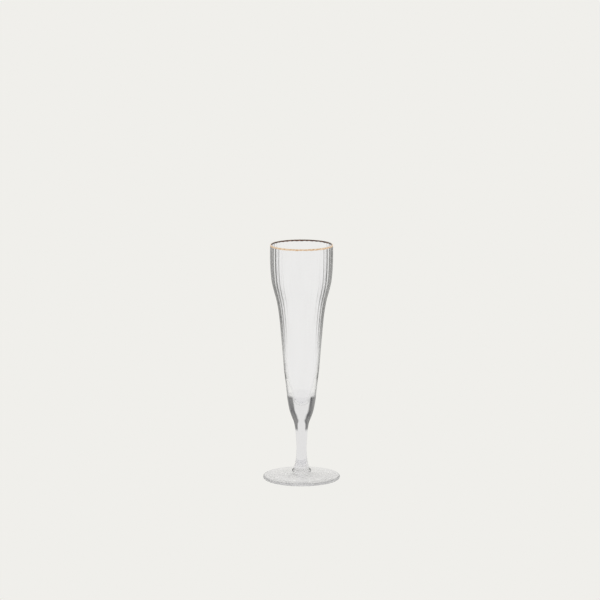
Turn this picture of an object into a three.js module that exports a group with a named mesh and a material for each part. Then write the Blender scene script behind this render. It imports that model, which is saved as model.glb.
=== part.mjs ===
// A champagne flute: a blown glass bowl with pressed flutes and a gilded lip, on a drawn glass stem,
// a small glass collar and a disc foot. Millimetres, +Z up. The origin is the centre of the foot's
// underside, on the surface that the glass stands on.
import * as THREE from "three";

// ---- Driving dimensions ----
const HEIGHT = 215;
const GILT_HEIGHT = 1.5; // the gilded edge of the lip
const WELD_Z = 63.5; // where the bowl is stuck to the stem
const COLLAR_TOP_Z = 9.4; // where the stem is stuck to the collar
const COLLAR_BASE_Z = 6.3; // where the collar is stuck to the foot
const COLLAR_RADIUS = 8.8;
const COLLAR_EDGE = 1.1; // radius of the collar's rounded edge

const FOOT_RADIUS = 35;
const FOOT_EDGE = 2.8; // thickness of the foot at its rounded edge
const REST_OUTER = 33.4; // the flat ring that the foot stands on
const REST_INNER = 25;
const KICK_HEIGHT = 2.4; // how far the hollow under the foot rises at its middle
const FOOT_SWEEP = 1.6; // above 1 the top of the foot sweeps up to the collar like a trumpet

const FLUTES = 38; // vertical flutes pressed into the outside of the bowl
const FLUTE_DEPTH = 0.015; // how deep the groove between two flutes is, as a share of the radius
const FLUTES_FADE_Z = 80; // the flutes run out here
const FLUTES_FULL_Z = 150; // and have their whole depth from here up

const LIP_WALL = 1.35; // wall of the bowl at its lip, at the crest of a flute
const LOW_WALL = 1.6; // wall of the bowl where the taper inside it begins
const WELL_TOP_Z = 112; // below this height the inside tapers to its rounded bottom
const WELL_BOTTOM_Z = 68.5; // the lowest point inside the bowl
const WELL_POWER = 1 / 3; // shapes the taper: 0.5 is an ellipse, and less is fuller at the bottom
const WELL_STEPS = 9;

const BOWL_SIDES = FLUTES * 2;
const STEM_SIDES = 38;
const FOOT_SIDES = 76;

// The outside of the stem and bowl as [height, radius], measured at the crests of the flutes.
const OUTLINE = [
  [COLLAR_TOP_Z, 7.3],
  [12, 6.4],
  [16, 5.45],
  [22, 4.8],
  [29, 4.6],
  [36, 5.0],
  [42, 5.4],
  [47, 5.95],
  [52, 7.0],
  [57, 8.95],
  [62, 10.7],
  [68, 12.0],
  [74, 12.95],
  [80, 13.5],
  [88, 14.4],
  [100, 15.85],
  [115, 17.1],
  [130, 18.4],
  [146, 19.8],
  [156, 21.1],
  [165, 22.8],
  [172, 24.8],
  [180, 26.75],
  [188, 27.7],
  [196, 28.2],
  [205, 28.35],
  [HEIGHT, 28.3],
];

// ---- The outline as a smooth curve ----

// The slope of the outline at one of its points, from the points beside it.
function slopeAt(index) {
  const [lowZ, lowRadius] = OUTLINE[Math.max(index - 1, 0)];
  const [highZ, highRadius] = OUTLINE[Math.min(index + 1, OUTLINE.length - 1)];
  return (highRadius - lowRadius) / (highZ - lowZ);
}

// The radius of the outline at a height, on a cubic through its points.
function outerRadius(z) {
  const last = OUTLINE.length - 2;
  const found = OUTLINE.findIndex(([pointZ]) => pointZ > z) - 1;
  const index = found < 0 ? last : found;
  const [lowZ, lowRadius] = OUTLINE[index];
  const [highZ, highRadius] = OUTLINE[index + 1];
  const span = highZ - lowZ;
  const t = (z - lowZ) / span;
  const rise = t * t * (3 - 2 * t);
  const startPull = t * (1 - t) * (1 - t) * span * slopeAt(index);
  const endPull = t * t * (t - 1) * span * slopeAt(index + 1);
  return lowRadius + (highRadius - lowRadius) * rise + startPull + endPull;
}

// The radius inside the bowl: a thin wall, then a long taper to a rounded bottom.
function innerRadius(z) {
  const share = (z - WELL_TOP_Z) / (HEIGHT - WELL_TOP_Z);
  const wall = THREE.MathUtils.lerp(LOW_WALL, LIP_WALL, share);
  const drop = Math.max(0, (WELL_TOP_Z - z) / (WELL_TOP_Z - WELL_BOTTOM_Z));
  return (outerRadius(z) - wall) * Math.max(0, 1 - drop * drop) ** WELL_POWER;
}

// How deep the grooves between the flutes are at a height.
function fluteDepth(z) {
  const grown = THREE.MathUtils.smoothstep(z, FLUTES_FADE_Z, FLUTES_FULL_Z);
  return FLUTE_DEPTH * outerRadius(z) * grown;
}

// Heights from low to high, both included, in a number of equal steps.
function heights(low, high, steps) {
  return Array.from({ length: steps + 1 }, (_, i) => low + ((high - low) * i) / steps);
}

// ---- Turning a profile ----

// A body turned about Z from rows of { radius, z, groove }. The rows run up the outside and come
// back to where they began, or to the axis. A row's groove is how far it sinks between two flutes.
function turned(rows, sides) {
  const points = rows.map(({ radius, z }) => new THREE.Vector2(radius, z));
  const geometry = new THREE.LatheGeometry(points, sides);
  geometry.rotateX(Math.PI / 2);
  const position = geometry.getAttribute("position");
  for (let i = 0; i < position.count; i += 1) {
    const { radius, groove = 0 } = rows[i % rows.length];
    const column = Math.floor(i / rows.length);
    const flutePosition = (column * FLUTES) / sides;
    const fromGroove = Math.abs(flutePosition - Math.round(flutePosition));
    const sunk = groove * (1 - 2 * fromGroove) ** 2;
    const scale = radius > 0 ? (radius - sunk) / radius : 1;
    position.setX(i, position.getX(i) * scale);
    position.setY(i, position.getY(i) * scale);
  }
  return geometry;
}

// A quarter or half round as rows, about a centre, from one angle to another in degrees.
function arc(centreRadius, centreZ, size, from, to, steps) {
  return heights(from, to, steps).map((degrees) => {
    const angle = THREE.MathUtils.degToRad(degrees);
    return { radius: centreRadius + size * Math.cos(angle), z: centreZ + size * Math.sin(angle) };
  });
}

// ---- The pieces ----

const glass = { color: 0xe9e9ea, roughness: 0.03, metalness: 0 };
const gold = { color: 0xb58a4a, roughness: 0.25, metalness: 1 };

function piece(name, geometry, look) {
  const mesh = new THREE.Mesh(geometry, new THREE.MeshStandardMaterial(look));
  mesh.name = name;
  return mesh;
}

// The fluted cup, solid at the bottom and cut flat where the gilding begins. Its rows run up the
// outside, down the wall, and down the taper in steps that are short near the bottom.
function makeBowl() {
  const topZ = HEIGHT - GILT_HEIGHT;
  const outside = [...heights(WELD_Z, 142, 9), ...heights(150, 194, 8), topZ];
  const wall = [topZ, ...heights(194, 150, 6), ...heights(138, WELL_TOP_Z, 2)];
  const well = heights(WELL_STEPS - 1, 1, WELL_STEPS - 2).map(
    (step) => WELL_BOTTOM_Z + (WELL_TOP_Z - WELL_BOTTOM_Z) * (step / WELL_STEPS) ** 3,
  );
  const rows = [
    { radius: 0, z: WELD_Z },
    ...outside.map((z) => ({ radius: outerRadius(z), z, groove: fluteDepth(z) })),
    ...[...wall, ...well].map((z) => ({ radius: innerRadius(z), z })),
    { radius: 0, z: WELL_BOTTOM_Z },
  ];
  return piece("bowl", turned(rows, BOWL_SIDES), glass);
}

// The gilded edge of the lip: a ring the width of the wall, with a rounded top.
function makeGiltRim() {
  const baseZ = HEIGHT - GILT_HEIGHT;
  const outer = outerRadius(HEIGHT);
  const inner = innerRadius(baseZ);
  const roundRadius = (outerRadius(baseZ) - inner) / 2;
  const middle = inner + roundRadius;
  const round = arc(middle, HEIGHT - roundRadius, roundRadius, 0, 180, 6);
  const rows = [
    { radius: inner, z: baseZ },
    { radius: outerRadius(baseZ), z: baseZ },
    ...round,
    { radius: inner, z: baseZ },
  ].map((row) => {
    const share = THREE.MathUtils.clamp((row.radius - inner) / (outer - inner), 0, 1);
    return { ...row, groove: fluteDepth(baseZ) * share };
  });
  return piece("gilt_rim", turned(rows, BOWL_SIDES), gold);
}

// The solid drawn stem: a funnel under the bowl, a slim waist and a flared end.
function makeStem() {
  const outside = [...heights(COLLAR_TOP_Z, 19, 4), ...heights(28, 46, 3), ...heights(50, WELD_Z, 4)];
  const rows = [
    { radius: 0, z: COLLAR_TOP_Z },
    ...outside.map((z) => ({ radius: outerRadius(z), z })),
    { radius: 0, z: WELD_Z },
  ];
  return piece("stem", turned(rows, STEM_SIDES), glass);
}

// The button of glass between the stem and the foot, with a rounded edge.
function makeFootCollar() {
  const edge = arc(COLLAR_RADIUS - COLLAR_EDGE, COLLAR_BASE_Z + COLLAR_EDGE, COLLAR_EDGE, -90, 75, 6);
  const rows = [
    { radius: 0, z: COLLAR_BASE_Z },
    ...edge,
    { radius: outerRadius(COLLAR_TOP_Z), z: COLLAR_TOP_Z },
    { radius: 0, z: COLLAR_TOP_Z },
  ];
  return piece("foot_collar", turned(rows, STEM_SIDES), glass);
}

// The disc foot: a low cone on top, a rounded edge, a flat ring to stand on and a hollow inside it.
function makeFoot() {
  const edgeRadius = FOOT_EDGE / 2;
  const edge = arc(FOOT_RADIUS - edgeRadius, edgeRadius, edgeRadius, -90, 90, 6).slice(1, -1);
  const slope = [0.85, 0.6, 0.3, 0].map((share) => {
    const lift = (1 - share) ** FOOT_SWEEP;
    return {
      radius: THREE.MathUtils.lerp(COLLAR_RADIUS, FOOT_RADIUS - edgeRadius, share),
      z: THREE.MathUtils.lerp(FOOT_EDGE, COLLAR_BASE_Z, lift),
    };
  });
  const hollow = [0, 0.35, 0.65].map((share) => ({
    radius: REST_INNER * share,
    z: KICK_HEIGHT * (1 - share * share),
  }));
  const rows = [
    ...hollow,
    { radius: REST_INNER, z: 0 },
    { radius: REST_OUTER, z: 0 },
    ...edge,
    { radius: FOOT_RADIUS - edgeRadius, z: FOOT_EDGE },
    ...slope,
    { radius: 0, z: COLLAR_BASE_Z },
  ];
  return piece("foot", turned(rows, FOOT_SIDES), glass);
}

const flute = new THREE.Group();
flute.add(makeFoot(), makeFootCollar(), makeStem(), makeBowl(), makeGiltRim());

export default flute;
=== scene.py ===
"""A champagne flute: fluted blown glass with a gilded lip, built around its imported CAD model.

Everything is in metres in the CAD frame: +Z up, the origin under the middle of the foot, and the
camera on the -Y side. Every CAD node is replaced by a finely turned body of the same shape, because
facets would show in clear glass."""

import math
from collections import namedtuple

import bpy
import numpy as np
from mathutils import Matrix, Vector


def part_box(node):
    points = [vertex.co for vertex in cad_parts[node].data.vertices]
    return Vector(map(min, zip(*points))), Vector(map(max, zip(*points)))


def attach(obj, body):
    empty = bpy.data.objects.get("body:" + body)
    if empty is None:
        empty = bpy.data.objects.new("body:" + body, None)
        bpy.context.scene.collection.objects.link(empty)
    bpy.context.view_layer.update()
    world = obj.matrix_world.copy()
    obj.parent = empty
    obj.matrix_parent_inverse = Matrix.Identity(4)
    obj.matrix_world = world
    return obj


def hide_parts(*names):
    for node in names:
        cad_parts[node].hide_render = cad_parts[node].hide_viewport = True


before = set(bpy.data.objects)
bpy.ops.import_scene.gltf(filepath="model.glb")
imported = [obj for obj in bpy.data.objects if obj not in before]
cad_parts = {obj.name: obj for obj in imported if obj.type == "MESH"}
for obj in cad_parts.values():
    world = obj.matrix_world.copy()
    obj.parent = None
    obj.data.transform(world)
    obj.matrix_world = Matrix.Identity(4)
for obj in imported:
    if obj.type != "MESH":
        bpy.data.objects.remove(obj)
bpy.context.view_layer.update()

MM = 0.001

# ---- Sizes that the frame gives, in millimetres ----
LIP_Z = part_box("gilt_rim")[1].z / MM
GILT_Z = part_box("gilt_rim")[0].z / MM
WELD_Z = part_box("bowl")[0].z / MM
COLLAR_TOP_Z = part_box("foot_collar")[1].z / MM
COLLAR_BASE_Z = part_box("foot_collar")[0].z / MM
COLLAR_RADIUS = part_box("foot_collar")[1].x / MM
FOOT_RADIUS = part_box("foot")[1].x / MM

# ---- Sizes that repeat the design of the part, in millimetres ----
COLLAR_EDGE = 1.1  # radius of the collar's rounded edge
FOOT_EDGE = 2.8  # thickness of the foot at its rounded edge
REST_OUTER = 33.4  # the flat ring that the foot stands on
REST_INNER = 25.0
KICK_HEIGHT = 2.4  # how far the hollow under the foot rises at its middle
FOOT_SWEEP = 1.6  # above 1 the top of the foot sweeps up to the collar like a trumpet
FLUTES = 38
FLUTES_TURN = 0.07  # of a flute, how far the first groove stands off the -Y side
FLUTE_DEPTH = 0.015  # of the radius
FLUTES_FADE_Z = 80.0
FLUTES_FULL_Z = 150.0
LIP_WALL = 1.35
LOW_WALL = 1.6
WELL_TOP_Z = 112.0  # below this height the inside tapers to its rounded bottom
WELL_BOTTOM_Z = 68.5
WELL_POWER = 1 / 3

# The outside of the stem and bowl as (height, radius), measured at the crests of the flutes.
OUTLINE = [
    (COLLAR_TOP_Z, 7.3),
    (12, 6.4),
    (16, 5.45),
    (22, 4.8),
    (29, 4.6),
    (36, 5.0),
    (42, 5.4),
    (47, 5.95),
    (52, 7.0),
    (57, 8.95),
    (62, 10.7),
    (68, 12.0),
    (74, 12.95),
    (80, 13.5),
    (88, 14.4),
    (100, 15.85),
    (115, 17.1),
    (130, 18.4),
    (146, 19.8),
    (156, 21.1),
    (165, 22.8),
    (172, 24.8),
    (180, 26.75),
    (188, 27.7),
    (196, 28.2),
    (205, 28.35),
    (LIP_Z, 28.3),
]

# ---- What the hand-made surfaces add, in millimetres ----
BOWL_UNEVEN = 0.02  # how far the surfaces stray from their outline
STEM_UNEVEN = 0.03
TWIST_WHOLE_Z = 18  # the stem is twisted up to here
TWIST_GONE_Z = 30
EASE = 8.0  # the unevenness runs out over this height next to a weld and the gilding
CALM_RADIUS = 3.0  # and it fades towards the axis within this radius
GILT_FILM = 0.03  # how far the gilding stands off the glass
GILT_END = 105  # degrees round the lip from its outside, where the gilding ends

# ---- Fineness of the turned bodies ----
BOWL_COLUMNS = FLUTES * 8
STEM_COLUMNS = 192
FOOT_COLUMNS = 288
BOWL_STEP = 1.0  # millimetres between rows up the outside of the bowl
WALL_STEP = 1.2
STEM_STEP = 0.5
WELL_STEPS = 48
LIP_STEPS = 12  # rows round the half round of the lip
KICK_STEPS = 24
SLOPE_STEPS = 40
EDGE_STEPS = 24

# ---- The camera, in metres ----
CAMERA_BACK = 2.9
CAMERA_HEIGHT = 0.6855
CAMERA_ASIDE = -0.0014
CAMERA_PITCH = math.radians(10.19)
LENS_MM = 196.3
SENSOR_MM = 36

# ---- The studio, in metres ----
PALE = (0.871, 0.863, 0.831)  # the even light of the floor and the backdrop
FLOOR_RADIUS = 40.0
FLOOR_Z = -0.0002
FLOOR_SIDES = 64
BOUNCES = 32  # enough for light to cross four walls of glass
GLOSS_BOUNCES = 16

# The materials of a body, in the order that it is given them.
OUTSIDE = 0
WELD_FACE = 1
SECOND_SIDE = 2  # the inside of the cup or the underside of the foot
GILDING_BACK = 1  # the gilding has no weld face
FOOT_RIM = 3

Row = namedtuple("Row", "radius z groove look crisp wander", defaults=(0.0, 0, False, 0.0))


# ---- The outline as a smooth curve ----


def slope_at(index):
    """The slope of the outline at one of its points, from the points beside it."""
    low_z, low_radius = OUTLINE[max(index - 1, 0)]
    high_z, high_radius = OUTLINE[min(index + 1, len(OUTLINE) - 1)]
    return (high_radius - low_radius) / (high_z - low_z)


def outer_radius(z):
    """The radius of the outline at a height, on a cubic through its points."""
    index = 0
    while index < len(OUTLINE) - 2 and OUTLINE[index + 1][0] <= z:
        index += 1
    low_z, low_radius = OUTLINE[index]
    high_z, high_radius = OUTLINE[index + 1]
    span = high_z - low_z
    t = (z - low_z) / span
    rise = t * t * (3 - 2 * t)
    start_pull = t * (1 - t) ** 2 * span * slope_at(index)
    end_pull = t * t * (t - 1) * span * slope_at(index + 1)
    return low_radius + (high_radius - low_radius) * rise + start_pull + end_pull


def inner_radius(z):
    """The radius inside the bowl: a thin wall, then a long taper to a rounded bottom."""
    wall = LIP_WALL + (LOW_WALL - LIP_WALL) * (LIP_Z - z) / (LIP_Z - WELL_TOP_Z)
    drop = max(0.0, (WELL_TOP_Z - z) / (WELL_TOP_Z - WELL_BOTTOM_Z))
    return (outer_radius(z) - wall) * max(0.0, 1 - drop * drop) ** WELL_POWER


def smoothstep(value, low, high):
    """0 at low, 1 at high, smooth between."""
    t = min(max((value - low) / (high - low), 0.0), 1.0)
    return t * t * (3 - 2 * t)


def flute_depth(z):
    """How deep the grooves between the flutes are at a height."""
    return FLUTE_DEPTH * outer_radius(z) * smoothstep(z, FLUTES_FADE_Z, FLUTES_FULL_Z)


def heights(low, high, step):
    """Heights from low to high, both included, about a step apart."""
    count = max(1, round(abs(high - low) / step))
    return [low + (high - low) * i / count for i in range(count + 1)]


def arc(centre_radius, centre_z, size, start, end, steps):
    """(radius, z) along a round, from one angle to another in degrees."""
    points = []
    for i in range(steps + 1):
        angle = math.radians(start + (end - start) * i / steps)
        points.append((centre_radius + size * math.cos(angle), centre_z + size * math.sin(angle)))
    return points


# ---- How the surfaces vary round the axis ----


def flute_profile(angles):
    """How far each angle has sunk towards a groove: 0 at the crest of a flute, 1 in a groove."""
    across = angles * FLUTES / (2 * math.pi) + FLUTES_TURN
    from_groove = np.abs(across - np.round(across))
    return (1 - 2 * from_groove) ** 2


def gilt_wander(angles):
    """How the painted edge of the gilding wanders, in millimetres. It runs lower in the grooves."""
    slow = 0.07 * np.sin(5 * angles + 1.1) + 0.06 * np.sin(13 * angles + 0.4)
    return slow + 0.12 - 0.3 * flute_profile(angles)


def eased(z, low, high):
    """1 between two heights, easing to 0 at either of them."""
    return smoothstep(z, low, low + EASE) * smoothstep(-z, -high, EASE - high)


def bowl_ripple(z, angles):
    """The blown bowl's unevenness."""
    wave = np.sin(z / 9 + 2 * angles) + 0.75 * np.sin(z / 23 - 3 * angles + 1)
    return BOWL_UNEVEN * eased(z, WELD_Z, GILT_Z) * wave


def stem_ripple(z, angles):
    """The drawn stem's unevenness, with a slight twist near its lower end."""
    twist = np.sin(3 * angles + z / 1.2) * smoothstep(-z, -TWIST_GONE_Z, -TWIST_WHOLE_Z)
    sway = 0.7 * np.sin(2 * angles + z / 14)
    return STEM_UNEVEN * eased(z, COLLAR_TOP_Z, WELD_Z) * (twist + sway)


# ---- Turning a profile ----


def ring_points(row, angles, ripple):
    """The points of a row all the way round, or its one point on the axis."""
    if row.radius <= 0:
        return [(0.0, 0.0, row.z)]
    radius = row.radius - row.groove * flute_profile(angles)
    if ripple is not None:
        near_axis = min(1.0, row.radius / CALM_RADIUS)
        radius = radius + near_axis * ripple(row.z, angles)
    z = row.z + row.wander * gilt_wander(angles)
    return np.stack([radius * np.sin(angles), -radius * np.cos(angles), z], 1).tolist()


def band_faces(low, high, columns):
    """The faces between two rings of points. A ring on the axis is one point, and makes triangles."""
    faces = []
    for j in range(columns):
        k = (j + 1) % columns
        corners = (low[j % len(low)], low[k % len(low)], high[k % len(high)], high[j % len(high)])
        faces.append(tuple(dict.fromkeys(corners)))
    return faces


def mark_crisp(mesh, rings):
    """Makes the edges along these rings of points sharp."""
    ring_of_point = np.full(len(mesh.vertices), -1)
    for i, ring in enumerate(rings):
        ring_of_point[list(ring)] = i
    ends = np.empty(len(mesh.edges) * 2, np.int32)
    mesh.edges.foreach_get("vertices", ends)
    ends = ring_of_point[ends.reshape(-1, 2)]
    sharp = (ends[:, 0] >= 0) & (ends[:, 0] == ends[:, 1])
    mesh.edges.foreach_set("use_edge_sharp", sharp.tolist())


def turned(name, rows, columns, looks, ripple=None, closed=False):
    """A body turned about Z. Its rows run up the outside and come back to the axis, or to the first
    row if it is a closed ring. ripple(z, angles) adds to the radius, in millimetres."""
    angles = np.arange(columns) * 2 * math.pi / columns
    points = []
    rings = []
    for row in rows:
        ring = ring_points(row, angles, ripple)
        rings.append(range(len(points), len(points) + len(ring)))
        points += ring
    pairs = list(zip(range(len(rows) - 1), range(1, len(rows))))
    if closed:
        pairs.append((len(rows) - 1, 0))
    faces = []
    looks_used = []
    for low, high in pairs:
        band = band_faces(rings[low], rings[high], columns)
        faces += band
        looks_used += [rows[low].look] * len(band)
    mesh = bpy.data.meshes.new(name)
    mesh.from_pydata([tuple(c * MM for c in point) for point in points], [], faces)
    mesh.polygons.foreach_set("material_index", looks_used)
    mesh.polygons.foreach_set("use_smooth", [True] * len(faces))
    mark_crisp(mesh, [ring for row, ring in zip(rows, rings) if row.crisp])
    for look in looks:
        mesh.materials.append(look)
    mesh.validate()
    mesh.update()
    body = bpy.data.objects.new(name, mesh)
    bpy.context.scene.collection.objects.link(body)
    return body


# ---- Shader nodes ----

NOISE_SPREAD = (0.3, 0.7)  # nearly all of the noise lies between these


def new_material(name):
    """A material with nodes, and its Principled shader."""
    material = bpy.data.materials.new(name)
    material.use_nodes = True
    shader = material.node_tree.nodes["Principled BSDF"]
    return material, shader


def ramp_node(tree, value, low, high, start=0.0, end=1.0):
    """start where the value is below low, end where it is above high, smooth between."""
    node = tree.nodes.new("ShaderNodeMapRange")
    node.interpolation_type = "SMOOTHSTEP"
    node.inputs["From Min"].default_value = low
    node.inputs["From Max"].default_value = high
    node.inputs["To Min"].default_value = start
    node.inputs["To Max"].default_value = end
    tree.links.new(value, node.inputs["Value"])
    return node.outputs["Result"]


def noise_node(tree, grains, detail):
    """Noise in the object's own space, with so many grains to a metre along X, Y and Z."""
    place = tree.nodes.new("ShaderNodeTexCoord")
    spread = tree.nodes.new("ShaderNodeMapping")
    spread.inputs["Scale"].default_value = grains
    noise = tree.nodes.new("ShaderNodeTexNoise")
    noise.inputs["Scale"].default_value = 1.0
    noise.inputs["Detail"].default_value = detail
    tree.links.new(place.outputs["Object"], spread.inputs["Vector"])
    tree.links.new(spread.outputs["Vector"], noise.inputs["Vector"])
    return ramp_node(tree, noise.outputs[0], *NOISE_SPREAD)


def mix_node(tree, share, first, second):
    """A colour that goes from first to second. Either is three numbers or the output of a node."""
    mix = tree.nodes.new("ShaderNodeMix")
    mix.data_type = "RGBA"
    tree.links.new(share, mix.inputs["Factor"])
    for socket, colour in ((mix.inputs["A"], first), (mix.inputs["B"], second)):
        if isinstance(colour, tuple):
            socket.default_value = (*colour, 1)
        else:
            tree.links.new(colour, socket)
    return mix.outputs["Result"]


def edge_node(tree, begins, whole):
    """0 where the glass faces the eye, 1 where it is seen edge-on: how much of the painted edge shade
    shows.
    """
    weight = tree.nodes.new("ShaderNodeLayerWeight")
    return ramp_node(tree, weight.outputs["Facing"], begins, whole)


def height_node(tree, low, high):
    """0 below a height in millimetres, 1 above another."""
    place = tree.nodes.new("ShaderNodeTexCoord")
    split = tree.nodes.new("ShaderNodeSeparateXYZ")
    tree.links.new(place.outputs["Object"], split.inputs[0])
    return ramp_node(tree, split.outputs["Z"], low * MM, high * MM)


# ---- Materials ----


# What the glass lets through face-on, the painted shade that darkens it edge-on, and how far it is
# turned from the eye (0 to 1) where the painted shade begins and where it is deepest.
Look = namedtuple("Look", "face_on edge_on begins whole")
STREAKS = 0.06  # how much lighter the painted edge shade is in its streaks
GLASS_IOR = 1.5
# Each look paints shade where the glass is seen edge-on. It is near black on the outside of the bowl,
# on its solid end and on the collar, and lighter on the inside of the cup, the rod and the foot. The
# foot's rounded edge is also painted greyer face-on.
WALL = Look((0.977, 0.98, 0.996), (0.01, 0.01, 0.01), 0.28, 0.55)
PLAIN_WALL = Look((0.977, 0.98, 0.996), (0.05, 0.05, 0.05), 0.42, 0.78)
SOLID = Look((0.875, 0.875, 0.905), (0.01, 0.01, 0.013), 0.19, 0.28)
INSIDE = Look((0.985, 0.985, 0.998), (0.70, 0.70, 0.72), 0.40, 1.00)
ROD = Look((0.875, 0.875, 0.905), (0.60, 0.60, 0.62), 0.45, 0.95)
BUTTON = Look((0.95, 0.95, 0.965), (0.03, 0.03, 0.03), 0.38, 0.62)
PRESSED = Look((0.91, 0.91, 0.93), (0.45, 0.45, 0.46), 0.80, 1.00)
RIM = Look((0.76, 0.76, 0.79), (0.30, 0.30, 0.32), 0.40, 1.00)

# The heights in millimetres over which one look, with its painted edge shade, goes over to the next.
ROD_TO_FUNNEL = (43, 47)
SOLID_TO_WALL = (76, 79)
PLAIN_TO_FLUTED = (110, 150)

# How fine the marks in the glass and gold are, in grains to a metre along X, Y and Z.
BLOWN = (150, 150, 20)
DRAWN = (300, 300, 25)
POLISHED = (200, 200, 200)
SWIRLED = (60, 60, 60)
DULLED = (120, 120, 120)
BRUSHED = (900, 900, 900)
STRIAE_DETAIL = 2.0
BRUSHING_DETAIL = 3.0


def look_node(tree, look, striae, cloud):
    """The tint of a look, with painted shade where it is seen edge-on. Its striae are deeper face-on
    by the share cloud, and lighten the painted shade edge-on.
    """
    clouded = tuple(c * (1 - cloud) for c in look.face_on)
    streaked = tuple(c + STREAKS for c in look.edge_on)
    face_on = mix_node(tree, striae, look.face_on, clouded)
    edge_on = mix_node(tree, striae, look.edge_on, streaked)
    return mix_node(tree, edge_node(tree, look.begins, look.whole), face_on, edge_on)


def glass_material(name, looks, changes, cloud, polish, grains):
    """Clear glass with different looks up its height, each with painted shade where the glass is seen
    edge-on. changes are the heights in millimetres over which each look goes over to the next. Its
    striae deepen its tint by the share cloud, and change its roughness over polish."""
    material, shader = new_material(name)
    tree = material.node_tree
    striae = noise_node(tree, grains, STRIAE_DETAIL)
    colour = look_node(tree, looks[0], striae, cloud)
    for look, change in zip(looks[1:], changes):
        above = look_node(tree, look, striae, cloud)
        colour = mix_node(tree, height_node(tree, *change), colour, above)
    tree.links.new(colour, shader.inputs["Base Color"])
    tree.links.new(ramp_node(tree, striae, 0.0, 1.0, *polish), shader.inputs["Roughness"])
    shader.inputs["IOR"].default_value = GLASS_IOR
    shader.inputs["Transmission Weight"].default_value = 1.0
    return material


def bowl_glass():
    """A blown wall with faint upright striae and painted dark shade along its edges, over a solid end
    whose painted shade starts nearer its middle.
    """
    looks = [SOLID, PLAIN_WALL, WALL]
    changes = [SOLID_TO_WALL, PLAIN_TO_FLUTED]
    return glass_material("bowl_glass", looks, changes, 0.012, (0.0, 0.01), BLOWN)


def inside_glass():
    """The smooth inside of the cup, with lighter painted edge shade than the fluted outside."""
    return glass_material("inside_glass", [INSIDE], [], 0.01, (0.0, 0.01), BLOWN)


def stem_glass():
    """A drawn rod with fine striae along it, thickening into a solid funnel; painted shade greys the
    rod's edges and darkens the funnel's.
    """
    looks = [ROD, SOLID]
    return glass_material("stem_glass", looks, [ROD_TO_FUNNEL], 0.02, (0.0, 0.02), DRAWN)


def collar_glass():
    """A button of glass, nearly as smooth as the stem, with painted dark shade at its edges."""
    return glass_material("collar_glass", [BUTTON], [], 0.015, (0.03, 0.08), POLISHED)


def foot_glass():
    """Pressed and fire-polished glass with faint swirls, and painted grey shade where it is seen
    edge-on.
    """
    return glass_material("foot_glass", [PRESSED], [], 0.015, (0.06, 0.16), SWIRLED)


def foot_rim_glass():
    """The rounded edge of the foot, with painted grey shade because light runs along the whole disc
    to it, deeper where it is seen edge-on.
    """
    return glass_material("foot_rim_glass", [RIM], [], 0.02, (0.03, 0.1), SWIRLED)


def foot_under_glass():
    """The underside of the foot, dull from its mould and from use, with the foot's painted edge
    shade.
    """
    return glass_material("foot_under_glass", [PRESSED], [], 0.015, (0.25, 0.4), DULLED)


def weld_material():
    """The hidden face of a weld: light goes straight on from one gather of glass to the next."""
    material, shader = new_material("weld")
    shader.inputs["Alpha"].default_value = 0.0
    return material


def gold_material(name, pale, deep, polish):
    """Fired-on gold, deeper in colour and duller in some places than in others."""
    material, shader = new_material(name)
    tree = material.node_tree
    brushing = noise_node(tree, BRUSHED, BRUSHING_DETAIL)
    tree.links.new(mix_node(tree, brushing, pale, deep), shader.inputs["Base Color"])
    tree.links.new(ramp_node(tree, brushing, 0.0, 1.0, *polish), shader.inputs["Roughness"])
    shader.inputs["Metallic"].default_value = 1.0
    return material


def gilding():
    """The outer face of the gilding, bright where it is whole and brown where it is worn."""
    return gold_material("gilding", (1.0, 0.85, 0.67), (0.64, 0.38, 0.20), (0.05, 0.14))


def gilding_back():
    """The back of the gilding, brown where it is seen through the glass."""
    return gold_material("gilding_back", (0.26, 0.12, 0.07), (0.11, 0.06, 0.045), (0.35, 0.5))


# ---- The pieces ----


def lip_rows(start, end, film):
    """The round of the lip between two angles in degrees, with a film of gilding on it or none."""
    inner = inner_radius(GILT_Z)
    half = (outer_radius(GILT_Z) - inner) / 2 - GILT_FILM / 2
    steps = round((end - start) * LIP_STEPS / 180)
    rows = []
    for radius, z in arc(inner + half, LIP_Z - GILT_FILM - half, half + film, start, end, steps):
        share = (radius - inner) / (2 * half)
        rows.append(Row(radius, z, flute_depth(z) * share))
    return rows


def weld_rows(radius, z):
    """The flat face of a weld, from the axis out to its edge, without the edge."""
    return [Row(0, z, look=WELD_FACE), Row(radius / 2, z, look=WELD_FACE)]


def make_bowl(glass, weld, inside):
    """The fluted cup: up its outside, over the lip, down the wall and into the rounded bottom."""
    rows = weld_rows(outer_radius(WELD_Z), WELD_Z)
    rows += [Row(outer_radius(z), z, flute_depth(z)) for z in heights(WELD_Z, GILT_Z, BOWL_STEP)]
    rows[2] = rows[2]._replace(crisp=True)
    rows[-1] = rows[-1]._replace(look=WELD_FACE, wander=1.0)
    rows += [row._replace(look=WELD_FACE) for row in lip_rows(0, GILT_END, 0.0)[:-1]]
    lip_end = len(rows)
    rows += lip_rows(GILT_END, 180, 0.0)
    rows += [Row(inner_radius(z), z) for z in heights(rows[-1].z, WELL_TOP_Z, WALL_STEP)[1:]]
    for i in range(WELL_STEPS - 1, 0, -1):
        z = WELL_BOTTOM_Z + (WELL_TOP_Z - WELL_BOTTOM_Z) * (i / WELL_STEPS) ** 3
        rows.append(Row(inner_radius(z), z))
    rows.append(Row(0, WELL_BOTTOM_Z))
    rows[lip_end:] = [row._replace(look=SECOND_SIDE) for row in rows[lip_end:]]
    return turned("bowl_glass", rows, BOWL_COLUMNS, [glass, weld, inside], bowl_ripple)


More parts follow.
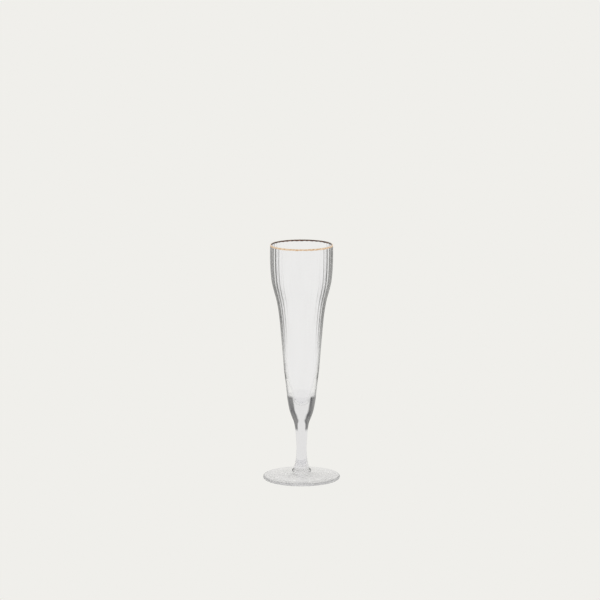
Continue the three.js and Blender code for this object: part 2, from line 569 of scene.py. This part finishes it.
def make_gilding(gold, back):
    """A film of gold on the last of the wall's outside and over the top of the lip."""
    edge = outer_radius(GILT_Z)
    groove = flute_depth(GILT_Z)
    start = Row(edge + GILT_FILM, GILT_Z, groove, OUTSIDE, crisp=True, wander=1.0)
    skin = [start] + lip_rows(0, GILT_END, GILT_FILM)
    skin[-1] = skin[-1]._replace(look=GILDING_BACK, crisp=True)
    under = list(reversed(lip_rows(0, GILT_END, 0.0)))
    under[0] = under[0]._replace(crisp=True)
    under.append(start._replace(radius=edge))
    under = [row._replace(look=GILDING_BACK) for row in under]
    return turned("lip_gilding", skin + under, BOWL_COLUMNS, [gold, back], closed=True)


def make_stem(glass, weld):
    """The solid drawn stem, with a flat weld at either end."""
    rows = weld_rows(outer_radius(COLLAR_TOP_Z), COLLAR_TOP_Z)
    rows += [Row(outer_radius(z), z) for z in heights(COLLAR_TOP_Z, WELD_Z, STEM_STEP)]
    rows[2] = rows[2]._replace(crisp=True)
    rows[-1] = rows[-1]._replace(look=WELD_FACE, crisp=True)
    rows += reversed(weld_rows(outer_radius(WELD_Z), WELD_Z))
    return turned("stem_glass", rows, STEM_COLUMNS, [glass, weld], stem_ripple)


def make_collar(glass, weld):
    """The button of glass between the stem and the foot."""
    seat = COLLAR_RADIUS - COLLAR_EDGE
    top = outer_radius(COLLAR_TOP_Z)
    rows = weld_rows(seat, COLLAR_BASE_Z)
    edge = arc(seat, COLLAR_BASE_Z + COLLAR_EDGE, COLLAR_EDGE, -90, 75, EDGE_STEPS)
    rows += [Row(radius, z) for radius, z in edge]
    rows[2] = rows[2]._replace(crisp=True)
    rows.append(Row(top, COLLAR_TOP_Z, look=WELD_FACE, crisp=True))
    rows += reversed(weld_rows(top, COLLAR_TOP_Z))
    return turned("collar_glass", rows, STEM_COLUMNS, [glass, weld])


def make_foot(glass, weld, underside, rim):
    """The disc foot: its hollow and flat ring below, a rounded edge, and a sweep up to the collar."""
    edge_radius = FOOT_EDGE / 2
    slope_end = FOOT_RADIUS - edge_radius
    seat = COLLAR_RADIUS - COLLAR_EDGE
    rows = []
    for i in range(KICK_STEPS + 1):
        share = i / KICK_STEPS
        rows.append(Row(REST_INNER * share, KICK_HEIGHT * (1 - share * share), look=SECOND_SIDE))
    rows += [Row(radius, 0.0, look=SECOND_SIDE) for radius in heights(REST_INNER, REST_OUTER, 2)[1:]]
    edge = arc(slope_end, edge_radius, edge_radius, -90, 90, EDGE_STEPS)
    rows += [Row(radius, z, look=FOOT_RIM) for radius, z in edge[:-1]]
    rows.append(Row(*edge[-1]))
    for i in range(SLOPE_STEPS - 1, -1, -1):
        share = i / SLOPE_STEPS
        lift = (1 - share) ** FOOT_SWEEP
        radius = COLLAR_RADIUS + (slope_end - COLLAR_RADIUS) * share
        rows.append(Row(radius, FOOT_EDGE + (COLLAR_BASE_Z - FOOT_EDGE) * lift))
    rows.append(Row(seat, COLLAR_BASE_Z, look=WELD_FACE, crisp=True))
    rows += reversed(weld_rows(seat, COLLAR_BASE_Z))
    return turned("foot_glass", rows, FOOT_COLUMNS, [glass, weld, underside, rim])


# ---- The studio ----


def make_camera():
    """A long lens from the front and a little above."""
    data = bpy.data.cameras.new("camera")
    data.lens = LENS_MM
    data.sensor_width = SENSOR_MM
    data.clip_end = FLOOR_RADIUS * 2.5
    camera = bpy.data.objects.new("camera", data)
    camera.location = (CAMERA_ASIDE, -CAMERA_BACK, CAMERA_HEIGHT)
    camera.rotation_euler = (math.pi / 2 - CAMERA_PITCH, 0, 0)
    bpy.context.scene.collection.objects.link(camera)
    bpy.context.scene.camera = camera


def emission_material(name):
    """A material that gives off pale light evenly."""
    material = bpy.data.materials.new(name)
    material.use_nodes = True
    nodes = material.node_tree.nodes
    nodes.clear()
    output = nodes.new("ShaderNodeOutputMaterial")
    emission = nodes.new("ShaderNodeEmission")
    emission.inputs["Color"].default_value = (*PALE, 1)
    material.node_tree.links.new(emission.outputs[0], output.inputs["Surface"])
    return material


def make_world():
    """Even pale light from all round, which is also the backdrop."""
    world = bpy.data.worlds.new("world")
    bpy.context.scene.world = world
    world.use_nodes = True
    world.node_tree.nodes["Background"].inputs["Color"].default_value = (*PALE, 1)


def make_floor():
    """A wide round floor just under the glass."""
    points = []
    for i in range(FLOOR_SIDES):
        angle = 2 * math.pi * i / FLOOR_SIDES
        points.append((FLOOR_RADIUS * math.sin(angle), -FLOOR_RADIUS * math.cos(angle), FLOOR_Z))
    mesh = bpy.data.meshes.new("floor")
    mesh.from_pydata(points, [], [tuple(range(FLOOR_SIDES))])
    mesh.materials.append(emission_material("floor"))
    floor = bpy.data.objects.new("floor", mesh)
    bpy.context.scene.collection.objects.link(floor)


def set_render():
    """Bounces for clear glass, and colours shown as they are."""
    scene = bpy.context.scene
    scene.view_settings.view_transform = "Standard"
    scene.cycles.max_bounces = BOUNCES
    scene.cycles.transmission_bounces = BOUNCES
    scene.cycles.glossy_bounces = GLOSS_BOUNCES
    scene.cycles.transparent_max_bounces = BOUNCES


make_camera()
make_world()
make_floor()
set_render()

weld = weld_material()
foot = make_foot(foot_glass(), weld, foot_under_glass(), foot_rim_glass())
PIECES = [
    (make_bowl(bowl_glass(), weld, inside_glass()), "bowl", "bowl_glass"),
    (make_gilding(gilding(), gilding_back()), "gilt_rim", "gilding"),
    (make_stem(stem_glass(), weld), "stem", "stem_glass"),
    (make_collar(collar_glass(), weld), "foot_collar", "foot_glass"),
    (foot, "foot", "foot_glass"),
]
for piece, node, slot in PIECES:
    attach(piece, "root")
    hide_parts(node)
